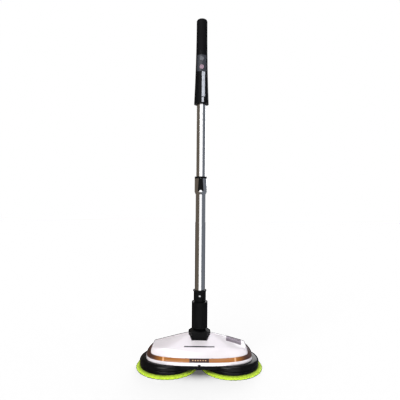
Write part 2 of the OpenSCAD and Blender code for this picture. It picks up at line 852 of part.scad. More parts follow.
module chassis() {
    color("#17181a") difference() {
        union() {
            difference() {
                union() {
                    both_sides() translate([pad_x, 0, 0]) skirt();
                    block([-pad_x, pad_x], [-bridge_b, bridge_b], [chassis_z, lip_z]);
                }
                intersection() {
                    slab(shell_a - 6, shell_b - 10, chassis_z + floor_t, 50);
                    union() {
                        both_sides() translate([pad_x, 0, 0]) cylinder(r = skirt_r - 4, h = 100, $fn = 144);
                        block([-pad_x, pad_x], [-bridge_b + 3, bridge_b - 3], [0, 100]);
                    }
                }
            }
            // Tab that the cover is lifted by
            block([-4, 4], [-bridge_b - 5, -bridge_b + 1], [lip_z - 5, lip_z]);
            both_sides() translate([pad_x, 0, chassis_z]) {
                cylinder(r = boss_r, h = seal_t + bearing_t);
                for (p = plate_posts) translate(p) cylinder(r = post_r, h = plate_z - chassis_z);
            }
            screw_bosses(5.5, chassis_z, chassis_z + floor_t + 3);
            for (x = [-28, 28], y = [tray_y + 10, tray_y + 52]) translate([x, y, chassis_z]) cylinder(r = 3.5, h = tray_z - chassis_z);
            for (x = [-22, 22], y = [18, 44]) translate([x, y, chassis_z]) cylinder(r = 3, h = board_z - chassis_z);
        }
        both_sides() translate([pad_x, 0, 0]) {
            cylinder(r = bearing_r, h = 100);
            for (p = plate_posts) translate([p[0], p[1], plate_z - 10]) cylinder(r = 1.5, h = 20);
        }
        screw_bosses(1.6, 0, 100);
        screw_bosses(3.3, 0, chassis_z + 2.6);
    }
}

module chassis_screws() {
    color("silver") for (x = [-1, 1], y = [-1, 1])
        translate([x * screw_at[0], y * screw_at[1], chassis_z + 2.6]) screw(1.4, 20, 3.1, 2);
}

module battery_tray() {
    color("#303236") difference() {
        block([-38, 38], [tray_y, tray_y + 63], [tray_z, tray_z + 10]);
        block([-36, 36], [tray_y + 2, tray_y + 61], [tray_z + 2, tray_z + 20]);
    }
}

module battery_cells() {
    color("#3b6ea8") for (i = [0:2]) translate([0, tray_y + 2.2 + cell_r + i * (2 * cell_r + 0.6), tray_z + 2 + cell_r])
        along_x(-cell_len / 2, cell_len / 2, cell_r);
}

module control_board() {
    color("#1f6b3a") {
        block([-28, 28], [13.5, 52], [board_z, board_z + 1.6]);
        for (x = [-18, -4, 10]) block([x, x + 9], [20, 30], [board_z + 1.6 - eps, board_z + 7]);
        translate([18, 42, board_z + 1.5]) cylinder(r = 5, h = 12);
    }
}

module charge_socket() {
    depth = 14;
    face = shell_b * pow(1 - pow(charge_x / shell_a, shell_full), 1 / shell_full);
    color("#101112") translate([charge_x, 0, charge_z]) {
        difference() {
            along_y(face - depth, face - 0.8, 4);
            along_y(face - depth + 3, face + 5, 2.75);
        }
        along_y(face - depth + 1, face - 3, 1);
    }
}

// ---------------------------------------------------------------- drive

module drive_motors() {
    plate_top = plate_z + plate_t;
    color("#a9abb0") both_sides() translate([pinion_x, 0, plate_top]) difference() {
        union() {
            cylinder(r = motor_d / 2, h = motor_h);
            translate([0, 0, -plate_t]) cylinder(r = 5, h = plate_t + 1);
            translate([0, 0, motor_h - eps]) cylinder(r = 4, h = 2);
        }
        translate([0, 0, -plate_t - 1]) cylinder(r = 2.5 + run_fit, h = 16);
        for (y = [-9.5, 9.5]) translate([0, y, -1]) cylinder(r = 1.4, h = 8);
    }
}

module motor_screws() {
    color("silver") both_sides() for (y = [-9.5, 9.5]) translate([pinion_x, y, plate_z]) screw(1.4, 8, 2.6, 1.5);
}

module gear_plates() {
    color("#2a2c2f") both_sides() difference() {
        translate([0, 0, plate_z]) {
            linear_extrude(plate_t) {
                translate([pad_x, 0]) circle(r = plate_post_r + post_r + 1);
                translate([pinion_x, 0]) circle(r = motor_d / 2 + 2);
            }
            translate([pad_x, 0, 0]) cylinder(r = boss_r, h = bearing_t + 1.2);
        }
        translate([pad_x, 0, plate_z - 1]) cylinder(r = bearing_r, h = bearing_t + 1.5);
        translate([pinion_x, 0, plate_z - 1]) cylinder(r = 5, h = 10);
        for (y = [-9.5, 9.5]) translate([pinion_x, y, plate_z - 1]) cylinder(r = 1.6, h = 10);
        for (p = plate_posts) translate([pad_x + p[0], p[1], plate_z - 1]) cylinder(r = 1.6, h = 10);
    }
}

module plate_screws() {
    color("silver") both_sides() for (p = plate_posts)
        translate([pad_x + p[0], p[1], plate_z + plate_t]) mirror([0, 0, 1]) screw(1.5, 10, 3, 2);
}

module spindle_bearings() {
    color("silver") both_sides() translate([pad_x, 0, 0]) {
        tube(bearing_r, spindle_d / 2 + run_fit, chassis_z + seal_t, chassis_z + seal_t + bearing_t);
        tube(bearing_r, spindle_d / 2 + run_fit, plate_z + 0.3, plate_z + 0.3 + bearing_t);
    }
}

module spindle_seals() {
    color("#101010") both_sides() translate([pad_x, 0, 0])
        tube(bearing_r, spindle_d / 2 + run_fit, chassis_z, chassis_z + seal_t);
}

module pinion() {
    translate([pinion_x, 0, gear_z]) {
        rotate([0, 0, 180 / pinion_teeth]) gear(pinion_teeth, 0);
        cylinder(r = 2.5, h = gear_t + plate_t + 12);
    }
}

module spindle() {
    hub_top = chassis_z - 0.4;
    translate([pad_x, 0, 0]) {
        translate([0, 0, disc_z + 2]) cylinder(r = spindle_d / 2, h = spindle_top - disc_z - 2);
        // Hexagon that drives the disc
        translate([0, 0, disc_z + 2]) cylinder(r = 8, h = hub_top - disc_z - 2.6, $fn = 6);
    }
}

module drive_gear() translate([pad_x, 0, gear_z]) difference() {
    gear(gear_teeth, spindle_d / 2);
    difference() {
        translate([0, 0, gear_t - 2]) cylinder(r = gear_m * gear_teeth / 2 - 4, h = 3);
        translate([0, 0, 0]) cylinder(r = 9, h = 20);
    }
}

module pad_disc() {
    r = disc_d / 2;
    edge = 3;
    hub_top = chassis_z - 0.4;
    translate([pad_x, 0, 0]) difference() {
        union() {
            rotate_extrude($fn = 144) polygon(concat(
                [[0, disc_z], [r, disc_z]],
                [for (t = [0:30:90]) [r - edge + edge * cos(t), disc_z + disc_t - edge + edge * sin(t)]],
                [[r - 12, disc_z + disc_t], [r - 16, disc_z + 4], [0, disc_z + 4]]
            ));
            translate([0, 0, disc_z]) cylinder(r = 14, h = hub_top - disc_z);
            for (a = [0:45:315]) rotate([0, 0, a]) block([13, r - 14], [-1.5, 1.5], [disc_z, disc_z + 7.5]);
        }
        translate([0, 0, disc_z + 2]) cylinder(r = 8, h = 40, $fn = 6);
    }
}

module hook_ring() translate([pad_x, 0, 0]) tube(disc_d / 2 - 4, 28, pad_t, pad_t + hook_t);

module pad() {
    r = pad_d / 2;
    low = 3.5;
    rise = pad_t - low;
    translate([pad_x, 0, 0]) rotate_extrude($fn = 144) polygon(concat(
        [[0, 0]],
        [for (t = [-90:22.5:0]) [r - low + low * cos(t), low + low * sin(t)]],
        [for (t = [22.5:22.5:90]) [r - rise + rise * cos(t), low + rise * sin(t)]],
        [[0, pad_t]]
    ));
}

module left() mirror([1, 0, 0]) children();

module right_pinion() color("#8b8d91") pinion();
module left_pinion() color("#8b8d91") left() pinion();
module right_spindle() color("#9a9ca0") spindle();
module left_spindle() color("#9a9ca0") left() spindle();
module right_drive_gear() color("#e6e2d6") drive_gear();
module left_drive_gear() color("#e6e2d6") left() drive_gear();
module right_pad_disc() color("#121314") pad_disc();
module left_pad_disc() color("#121314") left() pad_disc();
module right_hook_ring() color("#1e1e1e") hook_ring();
module left_hook_ring() color("#1e1e1e") left() hook_ring();
module right_pad() color("#c4e03c") pad();
module left_pad() color("#c4e03c") left() pad();

grip_sleeve();
handle_front_shell();
handle_rear_shell();
control_panel();
button_board();
handle_screws();
handle_stripe();
inner_tube();
glide_bush();
power_button();
mode_button();
power_spring();
mode_spring();
outer_tube();
lock_collar();
lock_roller();
lock_slider();
lock_spring();
coil_cable();
pole_socket();
socket_screw();
swivel_knuckle();
knuckle_screws();
tilt_yoke();
swing_pin();
tilt_pin();
top_shell();
light_band();
led_window();
front_leds();
led_board();
status_bar();
label_plate();
band_clips();
chassis();
chassis_screws();
battery_tray();
battery_cells();
control_board();
charge_socket();
drive_motors();
motor_screws();
gear_plates();
plate_screws();
spindle_bearings();
spindle_seals();
left_pinion();
right_pinion();
left_spindle();
left_drive_gear();
left_pad_disc();
left_hook_ring();
left_pad();
right_spindle();
right_drive_gear();
right_pad_disc();
right_hook_ring();
right_pad();
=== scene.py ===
"""Finish and fine shapes of a cordless twin-disc spin mop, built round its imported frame."""

import json
import math

import bmesh
import bpy
from bpy.props import FloatProperty, FloatVectorProperty, IntProperty, PointerProperty
from bpy.types import Operator, Panel, PropertyGroup
from mathutils import Matrix, Vector, noise

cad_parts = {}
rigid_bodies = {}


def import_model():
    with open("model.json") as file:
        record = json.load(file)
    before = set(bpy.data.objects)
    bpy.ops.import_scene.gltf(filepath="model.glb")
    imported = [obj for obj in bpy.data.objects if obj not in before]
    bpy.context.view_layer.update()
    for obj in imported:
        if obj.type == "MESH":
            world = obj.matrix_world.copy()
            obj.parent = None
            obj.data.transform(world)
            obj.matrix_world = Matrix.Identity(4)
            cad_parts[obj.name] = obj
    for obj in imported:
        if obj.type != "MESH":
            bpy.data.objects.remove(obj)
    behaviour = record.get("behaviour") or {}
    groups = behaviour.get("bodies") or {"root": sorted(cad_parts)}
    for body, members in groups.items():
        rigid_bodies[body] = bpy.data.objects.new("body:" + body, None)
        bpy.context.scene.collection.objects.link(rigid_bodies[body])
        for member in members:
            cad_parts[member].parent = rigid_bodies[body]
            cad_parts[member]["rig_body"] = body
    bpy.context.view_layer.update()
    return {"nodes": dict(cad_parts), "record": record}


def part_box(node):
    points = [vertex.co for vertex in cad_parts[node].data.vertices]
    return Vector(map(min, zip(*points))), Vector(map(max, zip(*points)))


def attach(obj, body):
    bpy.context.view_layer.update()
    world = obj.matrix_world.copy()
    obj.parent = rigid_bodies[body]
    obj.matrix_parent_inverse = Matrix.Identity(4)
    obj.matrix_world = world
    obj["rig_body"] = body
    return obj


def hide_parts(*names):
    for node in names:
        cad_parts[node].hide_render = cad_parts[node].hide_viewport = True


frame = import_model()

bl_info = {
    "name": "Twin-disc spin mop",
    "version": (1, 0, 0),
    "blender": (4, 5, 0),
    "location": "View3D > Sidebar > Spin mop",
    "description": "Builds the cover, lens band, pads, grip and finishes of a spin mop round its frame",
    "category": "Object",
}

MM = 0.001
COVER_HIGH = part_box("top_shell")[1]
BAND_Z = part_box("light_band")[0].z
PAD_LOW, PAD_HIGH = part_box("right_pad")
PAD_CENTRE = (PAD_LOW + PAD_HIGH) / 2
SLIDER_LOW, SLIDER_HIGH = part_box("lock_slider")
TILT_LOW, TILT_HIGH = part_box("tilt_pin")
TILT_AXIS = (TILT_LOW + TILT_HIGH) / 2
LABEL_LOW, LABEL_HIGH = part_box("label_plate")
LABEL_PLACE = (LABEL_LOW + LABEL_HIGH) / 2 + Vector((5 * MM, 1.5 * MM, 0))
LABEL_TURN = math.radians(7)
TILT_LIMIT = math.radians(75)
SLOT_OF = {p["node"]: p["material_slot"] for p in frame["record"]["subparts"]}


# ---------------------------------------------------------------- settings

def length(name, description, default, low=0.0):
    """A length in metres."""
    return FloatProperty(
        name=name, description=description, default=default, min=low, unit="LENGTH", precision=5
    )


def colour(name, description, default):
    """A base colour."""
    return FloatVectorProperty(
        name=name, description=description, default=default, min=0.0, max=1.0, size=3, subtype="COLOR"
    )


class CoverSizes(PropertyGroup):
    """Shape of the white cover and the lens band."""

    fullness: FloatProperty(
        name="Fullness", description="Fullness of the plan, 2 is an ellipse", default=2.8, min=2.0, max=4.0
    )
    lip: length("Lip", "Height of the white lip below the lens band", 10 * MM)
    band: length("Band", "Height of the lens band", 9 * MM)
    lean: length("Lean", "How far the lens band leans inwards", 11 * MM)
    climb: length("Climb", "How much further the lens band rises at the head's ends", 14 * MM)
    wall: length("Wall", "Thickness of the cover", 2.5 * MM)
    crease_y: length("Crease place", "Where the front face turns into the upper slope", -42 * MM, -1.0)
    crease_z: length("Crease height", "Height of that crease", 76.8 * MM)
    ridge_y: length("Ridge place", "Where the upper slope ends", 12 * MM, -1.0)
    shoulder_x: length("Shoulder", "Half width of the ridge before it falls to the sides", 40 * MM)
    fall: FloatProperty(
        name="Fall", description="Slope of the ridge towards the ends", default=0.258, min=0.0
    )
    softness: length("Softness", "How softly the cover's faces meet", 7 * MM)
    gap: length("Gap", "Gap round the pole joint", 0.6 * MM)


class PadSizes(PropertyGroup):
    """Shape of the cleaning pads."""

    tufts: IntProperty(name="Tufts", description="Tufted segments round a pad", default=40, min=8, max=90)
    tuft_depth: length("Tuft depth", "Depth of the stitching between two tufts", 1.6 * MM)
    pile_depth: length("Pile depth", "Height of the looped pile", 0.7 * MM)
    pile_size: length("Pile size", "Width of one loop of the pile", 2.6 * MM)


class PoleSizes(PropertyGroup):
    """Details on the pole and the handle."""

    ribs: IntProperty(name="Ribs", description="Ribs across the thumb slide", default=11, min=3, max=20)
    rib_height: length("Rib height", "How far a rib stands up", 0.7 * MM)


class StageSizes(PropertyGroup):
    """The camera's place and lens."""

    distance: length("Distance", "From the pole to the camera", 1.22)
    height: length("Height", "Height of the camera above the floor", 0.5207)
    lens: FloatProperty(name="Lens", description="Focal length in millimetres", default=35.06, min=10.0)
    roll: FloatProperty(
        name="Roll", description="Turn of the camera about its axis", default=math.radians(-0.5),
        subtype="ANGLE",
    )


class Colours(PropertyGroup):
    """Base colours."""

    cover: colour("Cover", "White of the cover", (0.72, 0.685, 0.70))
    lens: colour("Lens", "Amber of the lens band", (0.36, 0.125, 0.012))
    black: colour("Black", "Moulded black", (0.0035, 0.0037, 0.004))
    pad: colour("Pad", "Lime of the pads", (0.60, 0.82, 0.05))
    tube: colour("Tube", "Aluminium of the tubes", (0.86, 0.86, 0.87))


# ---------------------------------------------------------------- shader groups

def new_group(name, inputs, outputs):
    """An empty shader group; inputs are (name, default), outputs are (name, socket type)."""
    tree = bpy.data.node_groups.new(name, "ShaderNodeTree")
    for label, default in inputs:
        kind = "NodeSocketColor" if isinstance(default, tuple) else "NodeSocketFloat"
        tree.interface.new_socket(label, in_out="INPUT", socket_type=kind).default_value = default
    for label, kind in outputs:
        tree.interface.new_socket(label, in_out="OUTPUT", socket_type=kind)
    return tree, tree.nodes.new("NodeGroupInput"), tree.nodes.new("NodeGroupOutput")


def add(tree, kind, **settings):
    """A new node with its settings."""
    made = tree.nodes.new(kind)
    for key, value in settings.items():
        setattr(made, key, value)
    return made


def calc(tree, operation, a, b=None):
    """A Math node between two values or sockets."""
    made = add(tree, "ShaderNodeMath", operation=operation)
    for socket, value in zip(made.inputs, (a, b)):
        if isinstance(value, (int, float)):
            socket.default_value = value
        elif value is not None:
            tree.links.new(value, socket)
    return made.outputs[0]


def object_place(tree):
    """Object coordinates."""
    return tree.nodes.new("ShaderNodeTexCoord").outputs["Object"]


def object_axes(tree):
    """Object coordinates as separate X, Y and Z."""
    split = tree.nodes.new("ShaderNodeSeparateXYZ")
    tree.links.new(object_place(tree), split.inputs[0])
    return split.outputs


def eased(tree, value, start, end):
    """A mask of a value that goes smoothly from 0 at start to 1 at end."""
    made = add(tree, "ShaderNodeMapRange", interpolation_type="SMOOTHSTEP")
    made.inputs["From Min"].default_value = start
    made.inputs["From Max"].default_value = end
    tree.links.new(value, made.inputs["Value"])
    return made.outputs["Result"]


def blend_colours(tree, share, first, second):
    """Mixes two colours, each a tuple or a socket."""
    made = add(tree, "ShaderNodeMix", data_type="RGBA")
    tree.links.new(share, made.inputs["Factor"])
    for socket, value in ((made.inputs[6], first), (made.inputs[7], second)):
        if isinstance(value, tuple):
            socket.default_value = value
        else:
            tree.links.new(value, socket)
    return made.outputs[2]


def noise_at(tree, scale, detail=2.0, stretch=(1, 1, 1), rough=0.5):
    """Noise on object coordinates; scale is a number or a socket."""
    place = object_place(tree)
    if stretch != (1, 1, 1):
        mapping = add(tree, "ShaderNodeMapping")
        mapping.inputs["Scale"].default_value = stretch
        tree.links.new(place, mapping.inputs["Vector"])
        place = mapping.outputs["Vector"]
    made = tree.nodes.new("ShaderNodeTexNoise")
    made.inputs["Detail"].default_value = detail
    made.inputs["Roughness"].default_value = rough
    tree.links.new(place, made.inputs["Vector"])
    if isinstance(scale, (int, float)):
        made.inputs["Scale"].default_value = scale
    else:
        tree.links.new(scale, made.inputs["Scale"])
    return made.outputs["Fac"]


def surface_group():
    """Colour drift, smudged roughness and a fine moulded grain."""
    tree, given, out = new_group(
        "Moulded surface",
        [("Colour", (0.8, 0.8, 0.8, 1)), ("Drift", 0.06), ("Roughness", 0.4), ("Smudge", 0.08),
         ("Grain", 2500.0)],
        [("Colour", "NodeSocketColor"), ("Roughness", "NodeSocketFloat"), ("Height", "NodeSocketFloat")],
    )
    broad = noise_at(tree, 14.0, 3.0)
    shade = calc(tree, "MULTIPLY_ADD", calc(tree, "SUBTRACT", broad, 0.5), given.outputs["Drift"])
    shade.node.inputs[2].default_value = 1.0
    tint = add(tree, "ShaderNodeVectorMath", operation="SCALE")
    tree.links.new(given.outputs["Colour"], tint.inputs[0])
    tree.links.new(shade, tint.inputs["Scale"])
    smudge = noise_at(tree, 38.0, 4.0)
    rough = calc(tree, "MULTIPLY_ADD", calc(tree, "SUBTRACT", smudge, 0.5), given.outputs["Smudge"])
    tree.links.new(given.outputs["Roughness"], rough.node.inputs[2])
    grain = noise_at(tree, given.outputs["Grain"], 2.0)
    tree.links.new(tint.outputs["Vector"], out.inputs["Colour"])
    tree.links.new(rough, out.inputs["Roughness"])
    tree.links.new(grain, out.inputs["Height"])
    return tree


def brushed_group():
    """Fine drawn lines along the pole with a few wider streaks."""
    tree, given, out = new_group(
        "Drawn metal",
        [("Roughness", 0.2), ("Spread", 0.1)],
        [("Roughness", "NodeSocketFloat"), ("Height", "NodeSocketFloat")],
    )
    lines = noise_at(tree, 1.0, 4.0, (2600, 2600, 14), 0.6)
    streaks = noise_at(tree, 1.0, 2.0, (160, 160, 5))
    mixed = calc(tree, "MULTIPLY", calc(tree, "ADD", lines, streaks), 0.5)
    rough = calc(tree, "MULTIPLY_ADD", calc(tree, "SUBTRACT", mixed, 0.5), given.outputs["Spread"])
    tree.links.new(given.outputs["Roughness"], rough.node.inputs[2])
    tree.links.new(rough, out.inputs["Roughness"])
    tree.links.new(lines, out.inputs["Height"])
    return tree


def pile_group():
    """Looped fibre pile: cells for the loops, and strands within them; the colour is painted darker towards
    each loop's edge as shade in the hollows between loops, mixed with random patches of tone.
    """
    tree, given, out = new_group(
        "Looped pile",
        [("Colour", (0.5, 0.8, 0.1, 1)), ("Shade", (0.2, 0.4, 0.02, 1)), ("Size", 520.0)],
        [("Colour", "NodeSocketColor"), ("Height", "NodeSocketFloat")],
    )
    cells = add(tree, "ShaderNodeTexVoronoi", feature="F1")
    tree.links.new(object_place(tree), cells.inputs["Vector"])
    tree.links.new(given.outputs["Size"], cells.inputs["Scale"])
    loops = calc(tree, "SUBTRACT", 1.0, cells.outputs["Distance"])
    strands = noise_at(tree, 1800.0, 3.0, (1, 1, 3))
    patches = noise_at(tree, 60.0, 3.0)
    height = calc(tree, "ADD", loops, calc(tree, "MULTIPLY", strands, 0.6))
    # painted shade: darker where the loop cells meet, in the hollows between loops, plus random patches of
    # tone
    loop_shade_and_patches = calc(tree, "ADD", calc(tree, "MULTIPLY", loops, 0.75), calc(tree, "MULTIPLY", patches, 0.5))
    mixed = blend_colours(tree, loop_shade_and_patches, given.outputs["Shade"], given.outputs["Colour"])
    tree.links.new(mixed, out.inputs["Colour"])
    tree.links.new(height, out.inputs["Height"])
    return tree


GROUPS = {}


def shared(name):
    """A shader group by its short name, built on first use."""
    builders = {"surface": surface_group, "brushed": brushed_group, "pile": pile_group}
    if name not in GROUPS:
        GROUPS[name] = builders[name]()
    return GROUPS[name]


# ---------------------------------------------------------------- materials

def new_material(name, **constants):
    """A material with one Principled shader, and that shader's constant sockets set."""
    made = bpy.data.materials.new(name)
    made.use_nodes = True
    shader = made.node_tree.nodes["Principled BSDF"]
    for key, value in constants.items():
        shader.inputs[key.replace("_", " ")].default_value = value
    return made, made.node_tree, shader


def add_group(tree, name, **values):
    """Places a shared group and sets its inputs."""
    made = add(tree, "ShaderNodeGroup", node_tree=shared(name))
    for key, value in values.items():
        plain_colour = hasattr(value, "__len__") and len(value) == 3
        made.inputs[key].default_value = (*value, 1.0) if plain_colour else value
    return made


def add_bump(tree, shader, height, depth, distance=0.0002):
    """Feeds a height to the shader's normal."""
    bump = add(tree, "ShaderNodeBump")
    bump.inputs["Strength"].default_value = depth
    bump.inputs["Distance"].default_value = distance
    tree.links.new(height, bump.inputs["Height"])
    tree.links.new(bump.outputs["Normal"], shader.inputs["Normal"])


def moulded(name, base, roughness, drift=0.08, smudge=0.1, grain=2500.0, depth=0.15, **constants):
    """A moulded or turned surface: base colour, smudges and grain, with any shader constants."""
    made, tree, shader = new_material(name, **constants)
    skin = add_group(
        tree, "surface", Colour=base, Drift=drift, Roughness=roughness, Smudge=smudge, Grain=grain
    )
    tree.links.new(skin.outputs["Colour"], shader.inputs["Base Color"])
    tree.links.new(skin.outputs["Roughness"], shader.inputs["Roughness"])
    add_bump(tree, shader, skin.outputs["Height"], depth)
    return made


def pearl_white(colours):
    """The cover: glossy white with a faint mould texture under a clear coat."""
    return moulded(
        "pearl_white", colours.cover, 0.32, drift=0.05, smudge=0.08, grain=420.0, depth=0.035,
        Coat_Weight=0.6, Coat_Roughness=0.08, Specular_IOR_Level=0.5,
    )


def amber_lens(colours):
    """The lens band: amber, painted dark brown round the sides as shade where the band turns away from the
    lights, with moulded flutes behind it.
    """
    made, tree, shader = new_material(
        "amber_lens", Coat_Weight=0.3, Coat_Roughness=0.25, Specular_IOR_Level=0.3
    )
    skin = add_group(tree, "surface", Colour=colours.lens, Drift=0.35, Roughness=0.3, Smudge=0.1, Grain=300.0)
    away = calc(tree, "ABSOLUTE", object_axes(tree)["X"])
    # painted shade: the amber turns dark brown towards the head's ends, where the band faces away from the
    # lights
    beside = eased(tree, away, 106 * MM, 144 * MM)
    tint = blend_colours(tree, beside, skin.outputs["Colour"], (0.060, 0.026, 0.018, 1))
    tree.links.new(tint, shader.inputs["Base Color"])
    tree.links.new(skin.outputs["Roughness"], shader.inputs["Roughness"])
    flutes = noise_at(tree, 1.0, 2.0, (20, 20, 900))
    add_bump(tree, shader, flutes, 0.25)
    return made


def drawn_aluminium(colours):
    """The tubes: polished, with fine drawn lines."""
    made, tree, shader = new_material("drawn_aluminium", Base_Color=(*colours.tube, 1), Metallic=1.0)
    skin = add_group(tree, "brushed", Roughness=0.17, Spread=0.1)
    tree.links.new(skin.outputs["Roughness"], shader.inputs["Roughness"])
    add_bump(tree, shader, skin.outputs["Height"], 0.02)
    return made


def microfibre(colours):
    """The pads: lime looped pile, painted paler on the loop tops and darker in the hollows between loops as
    shade, with a soft sheen.
    """
    made, tree, shader = new_material(
        "microfibre", Roughness=0.9, Sheen_Weight=0.5, Sheen_Roughness=0.4, Sheen_Tint=(0.9, 1.0, 0.6, 1),
        Specular_IOR_Level=0.15,
    )
    skin = add_group(tree, "pile", Colour=colours.pad, Shade=(0.24, 0.40, 0.02), Size=520.0)
    tree.links.new(skin.outputs["Colour"], shader.inputs["Base Color"])
    add_bump(tree, shader, skin.outputs["Height"], 0.6, 0.0008)
    return made


def printed_label():
    """The label: satin mauve with a pale waving line along its middle."""
    made, tree, shader = new_material("label_mauve", Specular_IOR_Level=0.35)
    skin = add_group(tree, "surface", Colour=(0.135, 0.10, 0.135), Drift=0.5, Roughness=0.42, Smudge=0.1)
    axes = object_axes(tree)
    along = calc(tree, "SUBTRACT", axes["X"], LABEL_PLACE.x)
    across = calc(tree, "SUBTRACT", axes["Y"], LABEL_PLACE.y)
    level = calc(tree, "ADD", across, calc(tree, "MULTIPLY", along, math.tan(LABEL_TURN)))
    phase = calc(tree, "MULTIPLY", along, math.tau / (19 * MM))
    wave = calc(tree, "MULTIPLY", calc(tree, "SINE", phase), 1.6 * MM)
    away = calc(tree, "ABSOLUTE", calc(tree, "SUBTRACT", level, wave))
    line = eased(tree, away, 2.6 * MM, 1.2 * MM)
    tint = blend_colours(tree, line, skin.outputs["Colour"], (0.33, 0.27, 0.33, 1))
    tree.links.new(tint, shader.inputs["Base Color"])
    tree.links.new(skin.outputs["Roughness"], shader.inputs["Roughness"])
    return made


def lamp_glow():
    """The lamps: pale lit domes."""
    made, tree, shader = new_material("lamp_glow", Emission_Strength=0.35, Roughness=0.25)
    skin = add_group(tree, "surface", Colour=(0.85, 0.55, 0.28), Drift=0.1, Roughness=0.3, Smudge=0.05)
    tree.links.new(skin.outputs["Colour"], shader.inputs["Base Color"])
    tree.links.new(skin.outputs["Colour"], shader.inputs["Emission Color"])
    return made


def make_finishes(colours):
    """One material for each of the record's slots."""
    black = colours.black
    gloss = dict(Coat_Weight=0.5, Coat_Roughness=0.08)
    metal = dict(Metallic=1.0)
    return {
        "white_gloss": pearl_white(colours),
        "amber_lens": amber_lens(colours),
        "tube_aluminium": drawn_aluminium(colours),
        "pad_microfibre": microfibre(colours),
        "led_glow": lamp_glow(),
        "dark_lens": moulded("dark_lens", (0.045, 0.016, 0.010), 0.3, depth=0.05, Specular_IOR_Level=0.2),
        "status_black": moulded("status_black", (0.02, 0.019, 0.021), 0.25, depth=0.05, **gloss),
        "label_mauve": printed_label(),
        "clip_brown": moulded("clip_brown", (0.035, 0.018, 0.012), 0.5),
        "black_gloss": moulded(
            "black_gloss", black, 0.2, smudge=0.1, grain=900.0, depth=0.03, Specular_IOR_Level=0.14
        ),
        "black_plastic": moulded(
            "black_plastic", black, 0.45, smudge=0.15, grain=2600.0, depth=0.2, Specular_IOR_Level=0.06
        ),
        "grip_rubber": moulded(
            "grip_rubber", (0.004, 0.004, 0.0045), 0.6, grain=3200.0, depth=0.35, Specular_IOR_Level=0.05
        ),
        "panel_grey": moulded("panel_grey", (0.030, 0.033, 0.040), 0.4, depth=0.05, Specular_IOR_Level=0.25),
        "power_key_grey": moulded("power_key_grey", (0.06, 0.065, 0.075), 0.25, depth=0.05, **gloss),
        "mode_key_mauve": moulded("mode_key_mauve", (0.20, 0.13, 0.17), 0.25, depth=0.05, **gloss),
        "stripe_pale": moulded("stripe_pale", (0.36, 0.38, 0.41), 0.3, depth=0.06),
        "steel": moulded("steel", (0.60, 0.60, 0.62), 0.28, grain=1500.0, depth=0.08, **metal),
        "spring_steel": moulded("spring_steel", (0.48, 0.48, 0.50), 0.32, grain=1500.0, **metal),
        "nylon": moulded("nylon", (0.78, 0.74, 0.64), 0.45, Subsurface_Weight=0.1),
        "seal_rubber": moulded("seal_rubber", (0.012, 0.012, 0.012), 0.6),
        "circuit_green": moulded("circuit_green", (0.01, 0.10, 0.03), 0.3, drift=0.3),
        "cell_wrap": moulded("cell_wrap", (0.02, 0.10, 0.32), 0.25, drift=0.15),
        "cable_black": moulded("cable_black", (0.012, 0.012, 0.012), 0.5),
        "hook_fabric": moulded("hook_fabric", (0.015, 0.015, 0.016), 0.85, grain=1400.0, depth=0.9),
    }


FINISH = {}


# ---------------------------------------------------------------- mesh helpers

def place_piece(name, mesh, body, slot, nodes, angle=32.0):
    """Links a mesh as a piece that rides on a body, wears a slot's finish and stands for its nodes."""
    mesh.shade_smooth()
    mesh.set_sharp_from_angle(angle=math.radians(angle))
    piece = bpy.data.objects.new(name, mesh)
    bpy.context.scene.collection.objects.link(piece)
    mesh.materials.clear()
    mesh.materials.append(FINISH[slot])
    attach(piece, body)
    if nodes:
        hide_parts(*nodes)
    return piece


def take_mesh(name, bm):
    """The mesh of a bmesh, which is then freed."""
    mesh = bpy.data.meshes.new(name)
    bm.to_mesh(mesh)
    bm.free()
    return mesh


def close_mesh(name, bm):
    """Merges, turns the faces outwards and returns the mesh."""
    bmesh.ops.remove_doubles(bm, verts=bm.verts, dist=1e-6)
    bmesh.ops.recalc_face_normals(bm, faces=bm.faces)
    return take_mesh(name, bm)


def with_modifiers(name, mesh, *settings):
    """The mesh after a stack of modifiers, each given as (kind, its settings)."""
    carrier = bpy.data.objects.new(name + "_carrier", mesh)
    bpy.context.scene.collection.objects.link(carrier)
    for kind, values in settings:
        modifier = carrier.modifiers.new(kind.title(), kind)
        for key, value in values.items():
            setattr(modifier, key, value)
    bpy.context.view_layer.update()
    done = bpy.data.meshes.new_from_object(carrier.evaluated_get(bpy.context.evaluated_depsgraph_get()))
    done.name = name
    bpy.data.objects.remove(carrier)
    return done


def round_edges(piece, width, angle=30.0, segments=2):
    """A small rounding on a piece's sharp edges."""
    bevel = piece.modifiers.new("Rounding", "BEVEL")
    bevel.width = width
    bevel.segments = segments
    bevel.limit_method = "ANGLE"
    bevel.angle_limit = math.radians(angle)
    bevel.harden_normals = True
    bevel.use_clamp_overlap = True


def refined(node, width=0.4 * MM, angle=30.0):
    """A merged copy of a frame node with smooth faces and rounded edges, which stands for it."""
    bm = bmesh.new()
    bm.from_mesh(frame["nodes"][node].data)
    bmesh.ops.remove_doubles(bm, verts=bm.verts, dist=1e-5)
    bmesh.ops.dissolve_limit(
        bm, angle_limit=math.radians(0.5), verts=bm.verts, edges=bm.edges, use_dissolve_boundaries=False
    )
    mesh = take_mesh(node + "_finished", bm)
    for attribute in [a for a in mesh.attributes if a.name == "custom_normal"]:
        mesh.attributes.remove(attribute)
    body = frame["nodes"][node]["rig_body"]
    piece = place_piece(node + "_finished", mesh, body, SLOT_OF[node], [node], angle)
    if width:
        round_edges(piece, width, angle)
    return piece


def cutter(name, bm):
    """A closed mesh object that a Boolean cuts with."""
    made = bpy.data.objects.new(name, close_mesh(name, bm))
    bpy.context.scene.collection.objects.link(made)
    return made


